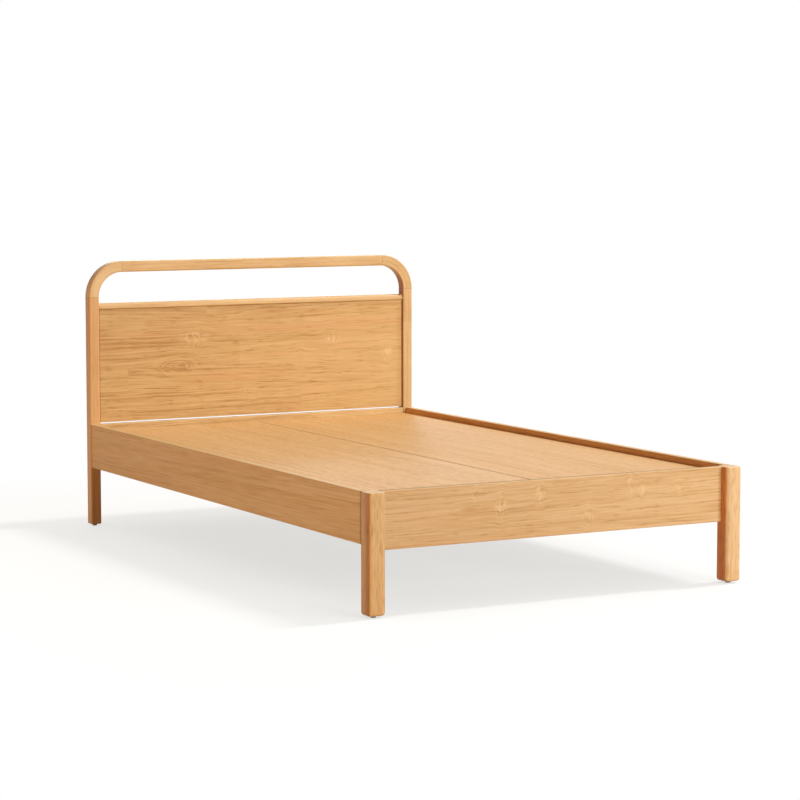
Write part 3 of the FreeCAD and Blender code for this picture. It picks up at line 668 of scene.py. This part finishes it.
def dress_deck():
    deck = Look(
        DECK_TONES, stave_width=0.155, spread=0.08, rings=0.06, soft=0.8, lines=0.06, hair=1.5,
        hair_run=30.0, fleck=0.24, blush=0.0, rough=0.50,
    )
    for side, inner, seed, gloss in (("left", 1, 6.6, 0.36), ("right", 0, 7.9, 0.22)):
        name = "deck_board_" + side
        seam = [Line("X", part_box(name)[inner].x, SEAM_HALF, SEAM_SHADE)]
        board = deck._replace(seed=seed, gloss=gloss)
        dress(wood("deck_" + side + "_look", straight("YXZ"), board, seam), name)


def dress_hidden_wood():
    plain = Look(PLAIN_TONES, 3.1, spread=0.08, blush=0.0, rough=0.62, gloss=0.30)
    for number in range(1, SLATS + 1):
        slat = plain._replace(seed=plain.seed + SLAT_SEED_STEP * number)
        dress(wood("slat_%d_look" % number, straight("XYZ"), slat), "cross_slat_%d" % number)
    lengthwise = wood("cleat_look", straight("YZX"), plain)
    dress(lengthwise, "side_cleat_left", "side_cleat_right", "centre_beam")
    dress(wood("centre_leg_look", straight("ZXY"), plain._replace(seed=15.5)), "centre_leg")
    dress(wood("dowel_across_look", straight("XZY"), plain._replace(seed=17.0)), "panel_dowels")
    pegs = wood("dowel_look", straight("ZXY"), plain._replace(seed=18.2))
    dress(pegs, "arch_dowels", "head_rail_dowels", "head_corner_dowels")
    dress(pegs, "foot_rail_dowels", "foot_corner_dowels")


def dress_hardware():
    steel = zinc_steel()
    dress(steel, "beam_hanger_head", "beam_hanger_foot", "centre_leg_stud", "rail_studs", "rail_washers")
    dress(steel, "rail_nuts", "cleat_screws", "slat_screws", "hanger_screws")
    corners = ("head_left", "head_right", "foot_left", "foot_right", "centre")
    dress(glide_plastic(), *["glide_" + corner for corner in corners])


def seen_rays(tree):
    """One for rays from the camera, gloss and glass, nought for the light that falls on things."""
    path = tree.nodes.new("ShaderNodeLightPath")
    seen = path.outputs["Is Camera Ray"]
    for name in ("Is Glossy Ray", "Is Transmission Ray"):
        either = tree.nodes.new("ShaderNodeMath")
        either.operation = "MAXIMUM"
        tree.links.new(seen, either.inputs[0])
        tree.links.new(path.outputs[name], either.inputs[1])
        seen = either.outputs[0]
    return seen


def white_room():
    """White where it is seen, and dim warm light for everything else."""
    world = bpy.data.worlds.new("white_room")
    world.use_nodes = True
    bpy.context.scene.world = world
    tree = world.node_tree
    seen = tree.nodes["Background"]
    seen.inputs["Color"].default_value = ROOM_SEEN
    light = tree.nodes.new("ShaderNodeBackground")
    light.inputs["Color"].default_value = ROOM_TINT
    light.inputs["Strength"].default_value = ROOM_LIGHT
    both = tree.nodes.new("ShaderNodeMixShader")
    tree.links.new(seen_rays(tree), both.inputs[0])
    tree.links.new(light.outputs[0], both.inputs[1])
    tree.links.new(seen.outputs[0], both.inputs[2])
    tree.links.new(both.outputs[0], tree.nodes["World Output"].inputs["Surface"])


def floor_fade(graph):
    """Nought near the bed and one further out, from the distance to the bed's own rectangle."""
    place = graph.place()
    reaches = cad_box[1]
    outside = []
    for axis, reach in (("X", reaches[0]), ("Y", reaches[1])):
        off = graph.math("SUBTRACT", graph.math("ABSOLUTE", place[axis]), reach)
        off = graph.math("MAXIMUM", off, 0.0)
        outside.append(graph.math("MULTIPLY", off, off))
    distance = graph.math("SQRT", graph.math("ADD", *outside))
    return graph.ranged(distance, FLOOR_FADE_START, FLOOR_FADE_END, 0.0, 1.0, smooth=True)


def floor_near_bed(graph):
    """A pale matt floor that takes the shadows, and a glow that is weaker close to the bed as painted shade.
    """
    matt = graph.node("ShaderNodeBsdfDiffuse")
    matt.inputs["Color"].default_value = FLOOR_SEEN
    glow = graph.node("ShaderNodeEmission")
    glow.inputs["Color"].default_value = FLOOR_TINT
    # Painted shade: the glow dims where the bed closes the floor in.
    painted_shade_probe = graph.node("ShaderNodeAmbientOcclusion", samples=FLOOR_PAINTED_SHADE_RAYS)
    painted_shade_probe.inputs["Distance"].default_value = FLOOR_PAINTED_SHADE_REACH
    level = graph.ranged(painted_shade_probe.outputs["AO"], 0.0, 1.0, FLOOR_GLOW, FLOOR_GLOW + FLOOR_PAINTED_SHADE_GLOW)
    graph.put(glow.inputs["Strength"], level)
    near = graph.node("ShaderNodeAddShader")
    graph.put(near.inputs[0], matt.outputs[0])
    graph.put(near.inputs[1], glow.outputs[0])
    return near.outputs[0]


def floor_material():
    """The floor as it is seen, white further out, and a warm matt floor for the light that it throws back."""
    graph = Graph("pale_floor")
    tree = graph.tree
    tree.nodes.remove(graph.shader)
    white = graph.node("ShaderNodeEmission")
    white.inputs["Strength"].default_value = 1.0
    shown = graph.node("ShaderNodeMixShader")
    graph.put(shown.inputs[0], floor_fade(graph))
    graph.put(shown.inputs[1], floor_near_bed(graph))
    graph.put(shown.inputs[2], white.outputs[0])
    bounce = graph.node("ShaderNodeBsdfDiffuse")
    bounce.inputs["Color"].default_value = FLOOR_BOUNCE
    final = graph.node("ShaderNodeMixShader")
    graph.put(final.inputs[0], seen_rays(tree))
    graph.put(final.inputs[1], bounce.outputs[0])
    graph.put(final.inputs[2], shown.outputs[0])
    graph.put(tree.nodes["Material Output"].inputs["Surface"], final.outputs[0])
    graph.material.cycles.emission_sampling = "NONE"
    return graph.material


def floor():
    half = FLOOR_HALF
    corners = ((-half, -half, 0.0), (half, -half, 0.0), (half, half, 0.0), (-half, half, 0.0))
    mesh = bpy.data.meshes.new("floor")
    mesh.from_pydata(corners, [], [(0, 1, 2, 3)])
    mesh.materials.append(floor_material())
    plane = bpy.data.objects.new("floor", mesh)
    bpy.context.scene.collection.objects.link(plane)


def aimed(item, place, aim):
    direction = [a - p for a, p in zip(aim, place)]
    flat = math.hypot(direction[0], direction[1])
    item.location = place
    item.rotation_euler = (math.atan2(flat, -direction[2]), 0.0, math.atan2(-direction[0], direction[1]))


def soft_box(lamp):
    light = bpy.data.lights.new(lamp.name, "AREA")
    light.shape = "RECTANGLE"
    light.size, light.size_y = lamp.size
    light.energy = lamp.power
    light.color = lamp.tint
    box = bpy.data.objects.new(lamp.name, light)
    aimed(box, lamp.place, lamp.aim)
    box.visible_camera = False
    bpy.context.scene.collection.objects.link(box)


def camera():
    lens = bpy.data.cameras.new("view")
    lens.sensor_fit = "HORIZONTAL"
    lens.sensor_width = SENSOR_WIDTH
    lens.lens = CAMERA_LENS
    view = bpy.data.objects.new("view", lens)
    view.location = CAMERA_PLACE
    view.rotation_euler = (math.radians(90.0 - CAMERA_PITCH), 0.0, math.radians(-CAMERA_YAW))
    bpy.context.scene.collection.objects.link(view)
    bpy.context.scene.camera = view


dress_arch()
dress_panel()
dress_foot_rail()
dress_side_rails()
dress_legs()
dress_deck()
dress_hidden_wood()
dress_hardware()
white_room()
floor()
for lamp in LAMPS:
    soft_box(lamp)
camera()
bpy.context.scene.view_settings.view_transform = "Standard"
